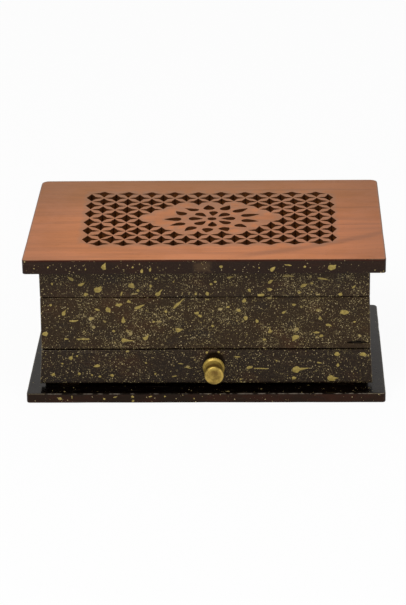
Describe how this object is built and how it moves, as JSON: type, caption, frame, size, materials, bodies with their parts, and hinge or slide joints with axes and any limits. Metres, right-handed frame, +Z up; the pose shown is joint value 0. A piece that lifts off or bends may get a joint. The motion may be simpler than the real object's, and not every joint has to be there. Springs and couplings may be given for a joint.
{
  "type": "decorative box",
  "caption": "Small painted wooden box with a pierced wooden lid hinged at the back and a shallow drawer with a brass knob, on an overhanging base board.",
  "frame": {"origin": "middle of the base board's underside", "axes": "+X to the right seen from the drawer side, +Y to the hinged back, +Z up"},
  "size_m": [0.206, 0.134, 0.0884],
  "materials": {
    "painted_wood": "near-black paint spattered with dull gold, satin lacquer",
    "stained_wood": "orange-brown clear finish, satin, dark inside the fretwork",
    "plain_wood": "bare wood and plywood",
    "velvet": "short-pile velvet on card",
    "brass": "turned and slightly tarnished",
    "steel": "plain zinc-plated"
  },
  "bodies": {
    "box": {"base_board": "painted_wood", "left_side": "painted_wood", "right_side": "painted_wood", "back_board": "painted_wood", "front_board": "painted_wood", "tray_floor": "plain_wood", "tray_lining": "velvet", "left_runner": "plain_wood", "right_runner": "plain_wood", "left_hinge_body_leaf": "brass", "left_hinge_pin": "brass", "right_hinge_body_leaf": "brass", "right_hinge_pin": "brass", "body_leaf_screw_1": "brass", "body_leaf_screw_2": "brass", "body_leaf_screw_3": "brass", "body_leaf_screw_4": "brass"},
    "lid": {"lid_board": "stained_wood", "lid_front_rail": "painted_wood", "lid_back_rail": "painted_wood", "lid_left_rail": "painted_wood", "lid_right_rail": "painted_wood", "lid_lining": "velvet", "left_hinge_lid_leaf": "brass", "right_hinge_lid_leaf": "brass", "lid_leaf_screw_1": "brass", "lid_leaf_screw_2": "brass", "lid_leaf_screw_3": "brass", "lid_leaf_screw_4": "brass"},
    "drawer": {"drawer_front": "painted_wood", "drawer_left_side": "plain_wood", "drawer_right_side": "plain_wood", "drawer_back": "plain_wood", "drawer_bottom": "plain_wood", "drawer_lining": "velvet", "knob": "brass", "knob_screw": "steel"}
  },
  "joints": [
    {"name": "lid_hinge", "type": "hinge", "parent": "box", "child": "lid", "pos_m": [0, 0.059, 0.0622], "axis": [-1, 0, 0], "range_deg": [0, 160]},
    {"name": "drawer_slide", "type": "slide", "parent": "box", "child": "drawer", "axis": [0, -1, 0], "range_m": [0, 0.085]}
  ]
}
